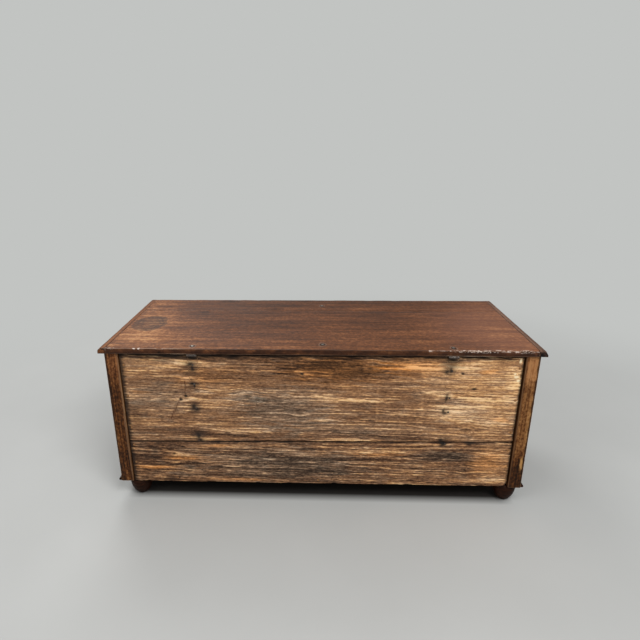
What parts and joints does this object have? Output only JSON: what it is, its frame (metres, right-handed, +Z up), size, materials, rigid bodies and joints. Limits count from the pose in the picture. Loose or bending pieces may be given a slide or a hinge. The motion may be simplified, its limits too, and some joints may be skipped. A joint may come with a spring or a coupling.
{
  "type": "carved wooden chest",
  "caption": "Long joined wooden storage chest with a carved panelled front, a boarded back, turned bun feet and a hinged boarded lid that lifts on iron straps, with a sliding bolt lock.",
  "frame": {"origin": "on the floor under the middle of the whole chest, lid included", "axes": "+Z up; +X along the length, to the right of someone who faces the carved front; -Y out of the carved front, +Y out of the boarded back with the hinges"},
  "size_m": [1.636, 0.628, 0.6702],
  "materials": {
    "stained_oak": "waxed, worn edges",
    "carved_oak": "waxed, dark in the hollows",
    "dark_turned_oak": "dark stained, satin",
    "varnished_lid_wood": "old varnish, worn",
    "weathered_pine": "bare, deeply weathered grain",
    "bare_pine": "bare, dusty",
    "forged_iron": "hand forged, rubbed",
    "lock_iron": "filed, dull"
  },
  "bodies": {
    "case": {"back_nails": "forged_iron", "escutcheon": "lock_iron", "floor_board_1": "bare_pine", "floor_board_2": "bare_pine", "floor_board_3": "bare_pine", "floor_board_4": "bare_pine", "floor_board_5": "bare_pine", "floor_board_6": "bare_pine", "floor_nails": "forged_iron", "frame_pegs": "stained_oak", "front_base_moulding": "dark_turned_oak", "front_bottom_rail": "stained_oak", "front_centre_panel": "carved_oak", "front_ledger": "bare_pine", "front_left_foot": "dark_turned_oak", "front_left_muntin": "stained_oak", "front_left_panel": "carved_oak", "front_left_post": "stained_oak", "front_right_foot": "dark_turned_oak", "front_right_muntin": "stained_oak", "front_right_panel": "carved_oak", "front_right_post": "stained_oak", "front_top_rail": "stained_oak", "left_base_moulding": "dark_turned_oak", "left_bottom_rail": "stained_oak", "left_front_panel": "stained_oak", "left_hinge_pin": "forged_iron", "left_lower_strap": "forged_iron", "left_muntin": "stained_oak", "left_rear_panel": "stained_oak", "left_top_rail": "stained_oak", "lock_case": "lock_iron", "lock_nails": "lock_iron", "lower_back_board": "weathered_pine", "rear_bottom_rail": "bare_pine", "rear_left_foot": "dark_turned_oak", "rear_left_post": "stained_oak", "rear_right_foot": "dark_turned_oak", "rear_right_post": "stained_oak", "right_base_moulding": "dark_turned_oak", "right_bottom_rail": "stained_oak", "right_front_panel": "stained_oak", "right_hinge_pin": "forged_iron", "right_lower_strap": "forged_iron", "right_muntin": "stained_oak", "right_rear_panel": "stained_oak", "right_top_rail": "stained_oak", "strap_nails": "forged_iron", "upper_back_board": "weathered_pine"},
    "lid": {"lid_rear_board": "varnished_lid_wood", "lid_front_board": "varnished_lid_wood", "left_lid_cleat": "varnished_lid_wood", "right_lid_cleat": "varnished_lid_wood", "lid_batten": "bare_pine", "left_upper_strap": "forged_iron", "right_upper_strap": "forged_iron", "lid_nails": "forged_iron", "lock_staple": "lock_iron"},
    "bolt": {"lock_bolt": "lock_iron"}
  },
  "joints": [
    {"name": "lid_hinge", "type": "hinge", "parent": "case", "child": "lid", "pos_m": [0, 0.3075, 0.6408], "axis": [-1, 0, 0], "range_deg": [0, 100]},
    {"name": "lock_bolt_slide", "type": "slide", "parent": "case", "child": "bolt", "axis": [1, 0, 0], "range_m": [0, 0.014]}
  ]
}
